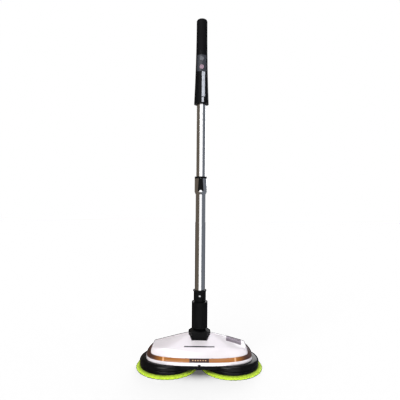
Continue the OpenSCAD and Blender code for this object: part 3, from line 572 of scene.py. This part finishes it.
def lathe(bm, outline, steps):
    """Turns an outline of (radius, height) points round the upright."""
    points = [bm.verts.new((r, 0, z)) for r, z in outline]
    edges = [bm.edges.new(pair) for pair in zip(points, points[1:])]
    bmesh.ops.spin(
        bm, geom=points + edges, cent=(0, 0, 0), axis=(0, 0, 1), angle=math.tau, steps=steps, use_merge=True
    )


def arc(centre_r, centre_z, radius, start, end, steps):
    """Points of an arc in an outline, angles in degrees."""
    turns = [math.radians(start + (end - start) * i / steps) for i in range(steps + 1)]
    return [(centre_r + radius * math.cos(t), centre_z + radius * math.sin(t)) for t in turns]


# ---------------------------------------------------------------- cover

def plan_point(angle, half_x, half_y, fullness):
    """The head's plan at a polar angle."""
    reach = abs(math.cos(angle) / half_x) ** fullness + abs(math.sin(angle) / half_y) ** fullness
    radius = reach ** (-1 / fullness)
    return radius * math.cos(angle), radius * math.sin(angle)


def smooth(value, start, end):
    """An eased step from 0 at start to 1 at end."""
    share = min(max((value - start) / (end - start), 0.0), 1.0)
    return share * share * (3 - 2 * share)


def soft_min(values, softness):
    """The lowest of several heights, with the faces blended where they meet."""
    lowest = values[0]
    for value in values[1:]:
        overlap = max(softness - abs(lowest - value), 0.0)
        lowest = min(lowest, value) - overlap * overlap / softness / 4
    return lowest


def belt_size(sizes, angle):
    """How far the belt under the roof leans and rises at a polar angle, and its share of the climb."""
    x, y = plan_point(angle, COVER_HIGH.x, COVER_HIGH.y, sizes.fullness)
    rise = smooth(y, -40 * MM, 10 * MM) * smooth(abs(x), 90 * MM, 130 * MM)
    end_lean = 7 * MM
    return sizes.lean + end_lean * rise, sizes.band + sizes.climb * rise, rise


def belt_point(sizes, angle, along, out):
    """A point on the belt between lip and roof, out from its face by a distance."""
    lean, high, rise = belt_size(sizes, angle)
    face = Vector((high, lean)).normalized()
    swell = 1.6 * MM
    out += swell * rise * 4 * along * (1 - along)
    inset = lean * along - out * face.x
    x, y = plan_point(angle, COVER_HIGH.x - inset, COVER_HIGH.y - inset, sizes.fullness)
    return x, y, BAND_Z + high * along + out * face.y


def roof_height(sizes, x, y):
    """Height of the cover's top at a place in the plan."""
    lean, high, _ = belt_size(sizes, math.atan2(y, x))
    half_x, half_y = COVER_HIGH.x - lean, COVER_HIGH.y - lean
    x = abs(x)
    full = sizes.fullness
    reach = ((x / half_x) ** full + (abs(y) / half_y) ** full) ** (1 / full)
    slope_x = (x / half_x) ** (full - 1) / half_x
    slope_y = (abs(y) / half_y) ** (full - 1) / half_y
    steep = max(math.hypot(slope_x, slope_y) / max(reach, 0.05) ** (full - 1), 1e-3)
    wall_slope = 1.22 + 4.0 * min(x / half_x, 1.0) ** 4
    wall = BAND_Z + high + (1 - reach) / steep * wall_slope
    rise = (COVER_HIGH.z - sizes.crease_z) / (sizes.ridge_y - sizes.crease_y)
    front = sizes.crease_z + rise * (y - sizes.crease_y)
    fall = sizes.fall * max(x - sizes.shoulder_x, -8 * MM)
    ridge = COVER_HIGH.z + 1.5 * MM  # the blend takes the faces down to the cover's height where they meet
    beside = ridge - fall + 0.2 * (y - sizes.ridge_y)
    behind = ridge - fall - 0.70 * (y - sizes.ridge_y)
    return soft_min([front, beside, behind, wall], sizes.softness)


def add_row(bm, row, place):
    """Extrudes a row of edges, moves each new point to its place, and returns the new edges."""
    made = bmesh.ops.extrude_edge_only(bm, edges=row)["geom"]
    fresh = {item for item in made if isinstance(item, bmesh.types.BMVert)}
    for point in fresh:
        point.co = place(math.atan2(point.co.y, point.co.x))
    return [
        item for item in made
        if isinstance(item, bmesh.types.BMEdge) and item.verts[0] in fresh and item.verts[1] in fresh
    ]


def groove_depth(sizes, angle):
    """How deep the lens band's seat is: none across the back."""
    _, y = plan_point(angle, COVER_HIGH.x, COVER_HIGH.y, sizes.fullness)
    end_y = COVER_HIGH.y * 0.72
    return 1.6 * MM * smooth(end_y - y, 0, 18 * MM)


def cover_surface(sizes):
    """The cover's outside as an open bmesh, from the lip's foot to the middle of the roof."""
    steps = 240
    bm = bmesh.new()
    made = bmesh.ops.create_circle(bm, segments=steps, radius=COVER_HIGH.y)
    ring = list({edge for point in made["verts"] for edge in point.link_edges})

    def lip(inset, drop):
        return lambda angle: (
            *plan_point(angle, COVER_HIGH.x - inset, COVER_HIGH.y - inset, sizes.fullness), BAND_Z - drop
        )

    def seat(along, share):
        return lambda angle: belt_point(sizes, angle, along, -share * groove_depth(sizes, angle))

    def roof(share):
        def place(angle):
            lean = belt_size(sizes, angle)[0]
            x, y = plan_point(
                angle, (COVER_HIGH.x - lean) * share, (COVER_HIGH.y - lean) * share, sizes.fullness
            )
            return x, y, roof_height(sizes, x, y)
        return place

    for point in made["verts"]:
        point.co = lip(0.9 * MM, sizes.lip)(math.atan2(point.co.y, point.co.x))
    lips = [(0.25, 9.7), (0, 9), (0, 5), (0, 0.6), (0.12, 0.15)]
    belts = [(0.01, 0), (0.03, 0.9), (0.07, 1), (0.3, 1), (0.5, 1), (0.7, 1), (0.93, 1), (0.965, 0.6), (1, 0)]
    rings = 44
    places = [lip(inset * MM, sizes.lip * drop / 10) for inset, drop in lips]
    places += [seat(along, share) for along, share in belts]
    places += [roof(1 - (i / rings) ** 0.85) for i in range(1, rings)]
    for place in places:
        ring = add_row(bm, ring, place)
    bmesh.ops.edgeloop_fill(bm, edges=ring)
    bmesh.ops.recalc_face_normals(bm, faces=bm.faces)
    return bm


def joint_cutters(sizes):
    """What the pole's joint takes out of the cover: its slot, the leaning pole's path and the charge hole."""
    yoke_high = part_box("tilt_yoke")[1]
    radius = yoke_high.z - TILT_AXIS.z + sizes.gap
    half = yoke_high.x + sizes.gap
    slot = bmesh.new()
    turned = Matrix.Translation(TILT_AXIS) @ Matrix.Rotation(math.pi / 2, 4, "Y")
    bmesh.ops.create_cone(
        slot, cap_ends=True, segments=96, radius1=radius, radius2=radius, depth=2 * half, matrix=turned
    )
    taper_y = 12 * MM
    for side in (-1, 1):
        bmesh.ops.bisect_plane(
            slot, geom=slot.verts[:] + slot.edges[:] + slot.faces[:], plane_co=(side * half, taper_y, 0),
            plane_no=(side * 3, -1, 0), clear_outer=True,
        )
        bmesh.ops.holes_fill(slot, edges=slot.edges, sides=200)
    lean = bmesh.new()
    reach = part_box("pole_socket")[1].x + 1.5 * MM
    path_length = 200 * MM
    path_middle = 60 * MM
    bmesh.ops.create_cube(lean, size=1.0, matrix=Matrix.Diagonal((2 * reach, 2 * reach, path_length, 1)))
    bmesh.ops.translate(lean, verts=lean.verts, vec=(0, -TILT_AXIS.y, path_middle))
    bmesh.ops.rotate(lean, verts=lean.verts, cent=(0, 0, 0), matrix=Matrix.Rotation(-TILT_LIMIT, 3, "X"))
    bmesh.ops.translate(lean, verts=lean.verts, vec=TILT_AXIS)
    bmesh.ops.bisect_plane(
        lean, geom=lean.verts[:] + lean.edges[:] + lean.faces[:], plane_co=TILT_AXIS, plane_no=(0, -1, 0),
        clear_outer=True,
    )
    bmesh.ops.holes_fill(lean, edges=lean.edges, sides=20)
    charge_low, charge_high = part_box("charge_socket")
    centre = (charge_low + charge_high) / 2
    hole = bmesh.new()
    hole_r = 4.1 * MM
    turned = Matrix.Translation((centre.x, charge_high.y, centre.z)) @ Matrix.Rotation(math.pi / 2, 4, "X")
    bmesh.ops.create_cone(
        hole, cap_ends=True, segments=48, radius1=hole_r, radius2=hole_r, depth=30 * MM, matrix=turned
    )
    return [cutter("slot_cutter", slot), cutter("lean_cutter", lean), cutter("charge_cutter", hole)]


class BuildCover(Operator):
    """Builds the white cover"""

    bl_idname = "mop.cover"
    bl_label = "Cover"

    def execute(self, context):
        sizes = context.scene.mop_cover
        skin = take_mesh("cover_skin", cover_surface(sizes))
        cutters = joint_cutters(sizes)
        stack = [("SOLIDIFY", dict(thickness=sizes.wall, offset=-1.0))]
        stack += [
            ("BOOLEAN", dict(object=used, operation="DIFFERENCE", solver=solver))
            for used, solver in zip(cutters, ("EXACT", "EXACT", "FAST"))
        ]
        mesh = with_modifiers("head_cover", skin, *stack)
        for used in cutters:
            bpy.data.objects.remove(used)
        place_piece("head_cover", mesh, "head", "white_gloss", ["top_shell"], 28)
        return {"FINISHED"}


# ---------------------------------------------------------------- lens band

def band_strip(sizes, proud, lift=0.0):
    """The lens band's face as an open strip that swells by proud and tapers to its ends."""
    bm = bmesh.new()
    steps = 300
    across = 6
    end_y = COVER_HIGH.y * 0.70
    taper = 34 * MM

    def place(angle, share):
        _, y = plan_point(angle, COVER_HIGH.x, COVER_HIGH.y, sizes.fullness)
        close = min(max((end_y - y) / taper, 0.0), 1.0)
        low = (1 - close) ** 2
        along = 0.05 + 0.90 * (low + (1 - low) * share)
        return belt_point(sizes, angle, along, lift + proud * 4 * share * (1 - share) * close)

    start = math.atan2(end_y, COVER_HIGH.x * 0.86)
    angles = [math.pi - start + (math.pi + 2 * start) * i / steps for i in range(steps + 1)]
    points = [bm.verts.new(place(a, 0.0)) for a in angles]
    edges = [bm.edges.new(pair) for pair in zip(points, points[1:])]
    for k in range(1, across + 1):
        edges = add_row(bm, edges, lambda angle: place(angle % math.tau, k / across))
    bmesh.ops.remove_doubles(bm, verts=bm.verts, dist=2e-5)
    bmesh.ops.recalc_face_normals(bm, faces=bm.faces)
    if sum(f.normal.z for f in bm.faces) < 0:
        bmesh.ops.reverse_faces(bm, faces=bm.faces)
    return bm


def cut_away(bm, x, side):
    """Keeps the part of a mesh on one side of an upright plane across the head."""
    bmesh.ops.bisect_plane(
        bm, geom=bm.verts[:] + bm.edges[:] + bm.faces[:], plane_co=(x, 0, 0), plane_no=(side, 0, 0),
        clear_inner=True,
    )


def thick_strip(name, bm, depth):
    """Gives an open strip its thickness, inwards."""
    return with_modifiers(name, take_mesh(name, bm), ("SOLIDIFY", dict(thickness=depth, offset=-1.0)))


class BuildBand(Operator):
    """Builds the lens band, its lamp window, two pale bars painted on it as highlights, and the lamps"""

    bl_idname = "mop.band"
    bl_label = "Lens band"

    def execute(self, context):
        sizes = context.scene.mop_cover
        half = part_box("led_window")[1].x
        halves = []
        for side in (-1, 1):
            bm = band_strip(sizes, 0.5 * MM)
            cut_away(bm, side * (half + 0.2 * MM), side)
            halves.append(thick_strip("half", bm, 1.4 * MM))
        both = bmesh.new()
        for mesh in halves:
            both.from_mesh(mesh)
        place_piece("lens_band", close_mesh("lens_band", both), "head", "amber_lens", ["light_band"])
        bm = band_strip(sizes, 0.7 * MM)
        cut_away(bm, -half, 1)
        cut_away(bm, half, -1)
        window = thick_strip("lamp_window", bm, 1.6 * MM)
        place_piece("lamp_window", window, "head", "dark_lens", ["led_window"])
        # painted highlight: two pale bars on the band's face stand for the lights' reflection on the curved
        # lens
        highlight_bars_mesh = bmesh.new()
        highlight_bar_x = 107 * MM
        highlight_bar_half = 2.6 * MM
        for middle in (-highlight_bar_x, highlight_bar_x):
            bm = band_strip(sizes, 0.5 * MM, 0.35 * MM)
            cut_away(bm, middle - highlight_bar_half, 1)
            cut_away(bm, middle + highlight_bar_half, -1)
            highlight_bars_mesh.from_mesh(thick_strip("highlight_bar", bm, 1.0 * MM))
        piece = place_piece("painted_highlight_bars", close_mesh("painted_highlight_bars", highlight_bars_mesh), "head", "led_glow", [])
        # painted highlight: the bars wear a plain pale amber finish
        piece.data.materials[0] = moulded("painted_highlight_finish", (0.75, 0.42, 0.20), 0.25, depth=0.05, Coat_Weight=0.5)
        lamps = bmesh.new()
        lamp_low, lamp_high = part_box("front_leds")
        lamp_r = 1.5 * MM
        lamps_in_row = 6
        first = lamp_low.x + lamp_r
        pitch = (lamp_high.x - lamp_low.x - 2 * lamp_r) / (lamps_in_row - 1)
        centre = Vector((0, -COVER_HIGH.y + sizes.lean / 2, BAND_Z + sizes.band / 2))
        lean = math.atan2(sizes.band, sizes.lean)
        face = Vector((0, -math.sin(lean), math.cos(lean)))
        for i in range(lamps_in_row):
            place = Matrix.Translation(centre + face * 0.55 * MM + Vector((first + i * pitch, 0, 0)))
            shape = place @ Matrix.Rotation(lean, 4, "X") @ Matrix.Diagonal((0.95, 0.95, 0.6, 1))
            bmesh.ops.create_uvsphere(lamps, u_segments=20, v_segments=12, radius=lamp_r, matrix=shape)
        place_piece("lamp_domes", close_mesh("lamp_domes", lamps), "head", "led_glow", ["front_leds"])
        refined("band_clips", 0.25 * MM)
        return {"FINISHED"}


def roof_patch(sizes, centre, size, turn, lift, corner):
    """A thin sheet that follows the roof, as a bmesh; sizes along and across, turned about the upright."""
    bm = bmesh.new()
    bmesh.ops.create_grid(bm, x_segments=24, y_segments=12, size=0.5)
    ends = [v for v in bm.verts if abs(v.co.x) > 0.49 and abs(v.co.y) > 0.49]
    bmesh.ops.scale(bm, verts=bm.verts, vec=(size[0], size[1], 1))
    bmesh.ops.bevel(bm, geom=ends, offset=corner, segments=4, profile=0.5, affect="VERTICES", material=-1)
    bmesh.ops.rotate(bm, verts=bm.verts, cent=(0, 0, 0), matrix=Matrix.Rotation(turn, 3, "Z"))
    bmesh.ops.translate(bm, verts=bm.verts, vec=(*centre, 0))
    for point in bm.verts:
        point.co.z = roof_height(sizes, point.co.x, point.co.y) + lift
    return bm


def lift_tab():
    """The black tab at the lip's middle that the cover is lifted by."""
    bm = bmesh.new()
    place = Matrix.Translation((0, -COVER_HIGH.y - 0.3 * MM, BAND_Z - 9.6 * MM))
    size = Matrix.Diagonal((8 * MM, 4 * MM, 6.5 * MM, 1))
    bmesh.ops.create_cube(bm, size=1.0, matrix=place @ size)
    bmesh.ops.bevel(
        bm, geom=bm.edges[:], offset=0.9 * MM, segments=3, profile=0.5, affect="EDGES", material=-1
    )
    return close_mesh("lift_tab", bm)


class BuildTrim(Operator):
    """Builds the status bar, the label plate and the cover's tab"""

    bl_idname = "mop.trim"
    bl_label = "Trim"

    def execute(self, context):
        sizes = context.scene.mop_cover
        bar_low, bar_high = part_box("status_bar")
        bar_y = (bar_low.y + bar_high.y) / 2
        bm = roof_patch(sizes, (0, bar_y), (bar_high.x * 2, 3.8 * MM), 0.0, 0.5 * MM, 1.2 * MM)
        strip = thick_strip("status_strip", bm, 1.2 * MM)
        place_piece("status_strip", strip, "head", "status_black", ["status_bar"])
        marks = bmesh.new()
        mark_pitch = 8 * MM
        for i in range(-5, 6):
            bm = roof_patch(sizes, (i * mark_pitch, bar_y), (5 * MM, 1.5 * MM), 0.0, 0.62 * MM, 0.4 * MM)
            marks.from_mesh(thick_strip("mark", bm, 0.5 * MM))
        place_piece("status_marks", close_mesh("status_marks", marks), "head", "panel_grey", [])
        bm = roof_patch(sizes, LABEL_PLACE.xy, (46 * MM, 30 * MM), -LABEL_TURN, 0.9 * MM, 2.5 * MM)
        place_piece("label", thick_strip("label", bm, 1.6 * MM), "head", "label_mauve", ["label_plate"])
        place_piece("lift_tab", lift_tab(), "head", "black_plastic", [])
        return {"FINISHED"}


# ---------------------------------------------------------------- pads

def pad_mesh(name, sizes, centre_x, seed):
    """A round pad of looped pile: a crowned disc, stitched into tufts round its rim."""
    radius = (PAD_HIGH.x - PAD_LOW.x) / 2
    top = PAD_HIGH.z
    low_r = 3.6 * MM
    high_r = top - low_r
    rim_r = radius - 1.2 * MM
    rim_z = low_r + 0.2 * MM
    outline = [(0.0, 0.35 * MM)]
    outline += [(r * radius, 0.3 * MM) for r in (0.25, 0.5, 0.7, 0.82, 0.9)]
    outline += arc(rim_r - low_r, rim_z, low_r, -90, 0, 7)
    outline += arc(rim_r - high_r, rim_z, high_r - 0.9 * MM, 8, 90, 9)
    outline += [(r * radius, top - 0.7 * MM) for r in (0.9, 0.84, 0.7, 0.45, 0.0)]
    bm = bmesh.new()
    lathe(bm, outline, 420)
    bmesh.ops.remove_doubles(bm, verts=bm.verts, dist=1e-6)
    bmesh.ops.recalc_face_normals(bm, faces=bm.faces)
    bm.normal_update()
    moves = []
    for point in bm.verts:
        reach = math.hypot(point.co.x, point.co.y)
        rim = min(max((reach / radius - 0.80) / 0.14, 0.0), 1.0)
        angle = math.atan2(point.co.y, point.co.x)
        stitch = abs(math.sin(angle * sizes.tufts / 2)) ** 0.4 - 1
        uneven = noise.noise(Vector((math.cos(angle), math.sin(angle), seed)) * 5) * 0.5 * MM
        at = point.co / sizes.pile_size + Vector((seed, 0, 0))
        loops = noise.noise(at) * 0.6 + noise.noise(at * 2.1) * 0.4
        move = rim * (sizes.tuft_depth * stitch + uneven + sizes.pile_depth * loops)
        moves.append(point.normal * move)
    for point, move in zip(bm.verts, moves):
        point.co += move
        point.co.z = min(max(point.co.z, 0.0), top - 0.15 * MM)
        point.co.x += centre_x
    return close_mesh(name, bm)


class BuildPads(Operator):
    """Builds the two cleaning pads"""

    bl_idname = "mop.pads"
    bl_label = "Pads"

    def execute(self, context):
        sizes = context.scene.mop_pads
        for side, sign in (("left", -1), ("right", 1)):
            mesh = pad_mesh(side + "_mop_pad", sizes, sign * PAD_CENTRE.x, 3.0 + sign)
            pad = place_piece(
                side + "_mop_pad", mesh, side + "_spinner", "pad_microfibre", [side + "_pad"], 180
            )
        return {"FINISHED"}


# ---------------------------------------------------------------- base, joint and pole

class BuildBase(Operator):
    """Finishes the chassis, the turning discs and the pole's joint"""

    bl_idname = "mop.base"
    bl_label = "Base and joint"

    def execute(self, context):
        refined("chassis", 0.3 * MM)
        refined("left_pad_disc", 0.4 * MM)
        refined("right_pad_disc", 0.4 * MM)
        refined("charge_socket", 0.3 * MM)
        refined("tilt_yoke", 1.4 * MM, 24)
        refined("swivel_knuckle", 0.5 * MM)
        return {"FINISHED"}


class BuildPole(Operator):
    """Finishes the tubes, the socket, the collar and the thumb slide"""

    bl_idname = "mop.pole"
    bl_label = "Pole"

    def execute(self, context):
        sizes = context.scene.mop_pole
        refined("pole_socket", 0.6 * MM)
        refined("socket_screw", 0.15 * MM)
        refined("outer_tube", 0.15 * MM)
        refined("inner_tube", 0)
        refined("lock_collar", 0.4 * MM)
        refined("lock_slider", 0.3 * MM)
        bm = bmesh.new()
        low = SLIDER_LOW.z + 9 * MM
        high = SLIDER_HIGH.z - 4 * MM
        face = SLIDER_LOW.y
        for i in range(sizes.ribs):
            share = i / (sizes.ribs - 1)
            half = (7.4 - 2.2 * share) * MM
            place = Matrix.Translation((0, face + 0.25 * MM, low + (high - low) * share))
            size = Matrix.Diagonal((2 * half, 2 * sizes.rib_height, 1.3 * MM, 1))
            bmesh.ops.create_cube(bm, size=1.0, matrix=place @ size)
        bmesh.ops.bevel(
            bm, geom=bm.edges[:], offset=0.3 * MM, segments=2, profile=0.5, affect="EDGES", material=-1
        )
        place_piece("slide_ribs", close_mesh("slide_ribs", bm), "lock_slide", "black_plastic", [])
        return {"FINISHED"}


class BuildHandle(Operator):
    """Finishes the handle, its grip, panel and buttons"""

    bl_idname = "mop.handle"
    bl_label = "Handle"

    def execute(self, context):
        for node in ("handle_front_shell", "handle_rear_shell", "grip_sleeve"):
            refined(node, 0.3 * MM)
        refined("control_panel", 0.4 * MM)
        refined("handle_stripe", 0.1 * MM)
        for node in ("power_button", "mode_button"):
            refined(node, 0.8 * MM)
        return {"FINISHED"}


class ApplyFinishes(Operator):
    """Makes the finishes and gives every frame node its own"""

    bl_idname = "mop.finishes"
    bl_label = "Finishes"

    def execute(self, context):
        FINISH.update(make_finishes(context.scene.mop_colours))
        for node, piece in frame["nodes"].items():
            piece.data.materials.clear()
            piece.data.materials.append(FINISH[SLOT_OF[node]])
        return {"FINISHED"}


# ---------------------------------------------------------------- stage

def area_light(name, place, target, size, power, tint=(1, 1, 1)):
    """A soft rectangular light that faces a target."""
    lamp = bpy.data.lights.new(name, "AREA")
    lamp.shape = "RECTANGLE"
    lamp.size, lamp.size_y = size
    lamp.energy = power
    lamp.color = tint
    made = bpy.data.objects.new(name, lamp)
    made.location = place
    made.rotation_euler = (Vector(target) - Vector(place)).to_track_quat("-Z", "Y").to_euler()
    made.visible_camera = False
    bpy.context.scene.collection.objects.link(made)
    return made


def studio_world():
    """White to the camera; to the object, a grey room that is warm on the left and cool on the right."""
    world = bpy.data.worlds.new("studio")
    bpy.context.scene.world = world
    world.use_nodes = True
    tree = world.node_tree
    seen = tree.nodes["Background"]
    seen.inputs["Color"].default_value = (1, 1, 1, 1)
    room = tree.nodes.new("ShaderNodeBackground")
    sides = tree.nodes.new("ShaderNodeSeparateXYZ")
    tree.links.new(tree.nodes.new("ShaderNodeTexCoord").outputs["Generated"], sides.inputs[0])
    warm_to_cool = eased(tree, sides.outputs["X"], -0.6, 0.6)
    paint = blend_colours(tree, warm_to_cool, (0.125, 0.105, 0.082, 1), (0.16, 0.175, 0.20, 1))
    tree.links.new(paint, room.inputs["Color"])
    path = tree.nodes.new("ShaderNodeLightPath")
    mix = tree.nodes.new("ShaderNodeMixShader")
    tree.links.new(path.outputs["Is Camera Ray"], mix.inputs["Fac"])
    tree.links.new(room.outputs[0], mix.inputs[1])
    tree.links.new(seen.outputs[0], mix.inputs[2])
    tree.links.new(mix.outputs[0], tree.nodes["World Output"].inputs["Surface"])


class BuildStage(Operator):
    """Sets the pale floor, the soft studio lights and the camera"""

    bl_idname = "mop.stage"
    bl_label = "Stage"

    def execute(self, context):
        sizes = context.scene.mop_stage
        studio_world()
        bm = bmesh.new()
        bmesh.ops.create_grid(bm, x_segments=2, y_segments=2, size=8.0)
        mesh = take_mesh("floor", bm)
        floor = bpy.data.objects.new("floor", mesh)
        context.scene.collection.objects.link(floor)
        mesh.materials.append(moulded("floor_white", (0.9, 0.89, 0.92), 0.6, drift=0.01, depth=0.02))
        floor.is_shadow_catcher = True
        floor.visible_glossy = False
        area_light("front", (0.1, -2.7, 0.6), (0.1, 0, 0.6), (3.0, 3.2), 36)
        area_light("key", (-0.8, -1.5, 2.4), (0, 0, 0.1), (1.4, 1.4), 46)
        area_light("top", (0.2, 0.1, 2.6), (0, 0, 0.0), (2.0, 1.2), 22, (0.93, 0.9, 1.0))
        fill = area_light("floor fill", (0, 0, 3.0), (0, 0, 0), (5.0, 5.0), 300)
        fill.data.use_shadow = False
        lit = bpy.data.collections.new("floor only")
        lit.objects.link(floor)
        fill.light_linking.receiver_collection = lit
        area_light("back", (0.8, 2.6, 1.4), (0, 0, 0.5), (2.4, 1.8), 40)
        context.scene.view_settings.view_transform = "Standard"
        lens = bpy.data.cameras.new("camera")
        lens.lens = sizes.lens
        lens.sensor_width = 36.0
        camera = bpy.data.objects.new("camera", lens)
        camera.location = (-1.8 * MM, -sizes.distance, sizes.height)
        camera.rotation_euler = (math.pi / 2, sizes.roll, 0)
        context.scene.collection.objects.link(camera)
        context.scene.camera = camera
        return {"FINISHED"}


class MopPanel(Panel):
    """Lists the steps that build the mop"""

    bl_idname = "VIEW3D_PT_spin_mop"
    bl_label = "Spin mop"
    bl_space_type = "VIEW_3D"
    bl_region_type = "UI"
    bl_category = "Spin mop"

    def draw(self, context):
        for step in STEPS:
            self.layout.operator(step.bl_idname)
        for name in SETTINGS:
            self.layout.label(text=name)
            for key in SETTINGS[name].__annotations__:
                self.layout.prop(getattr(context.scene, name), key)


STEPS = [
    BuildStage, ApplyFinishes, BuildCover, BuildBand, BuildTrim, BuildPads, BuildBase, BuildPole, BuildHandle,
]
SETTINGS = {
    "mop_cover": CoverSizes, "mop_pads": PadSizes, "mop_pole": PoleSizes, "mop_stage": StageSizes,
    "mop_colours": Colours,
}


def register():
    """Registers the settings, the steps and the panel."""
    for name, group in SETTINGS.items():
        bpy.utils.register_class(group)
        setattr(bpy.types.Scene, name, PointerProperty(type=group))
    for step in [*STEPS, MopPanel]:
        bpy.utils.register_class(step)


def unregister():
    """Removes what register added."""
    for step in reversed([*STEPS, MopPanel]):
        bpy.utils.unregister_class(step)
    for name, group in SETTINGS.items():
        delattr(bpy.types.Scene, name)
        bpy.utils.unregister_class(group)


def main():
    """Registers the add-on and builds every piece."""
    register()
    for step in STEPS:
        getattr(bpy.ops.mop, step.bl_idname.split(".")[1])()


if __name__ == "__main__":
    main()
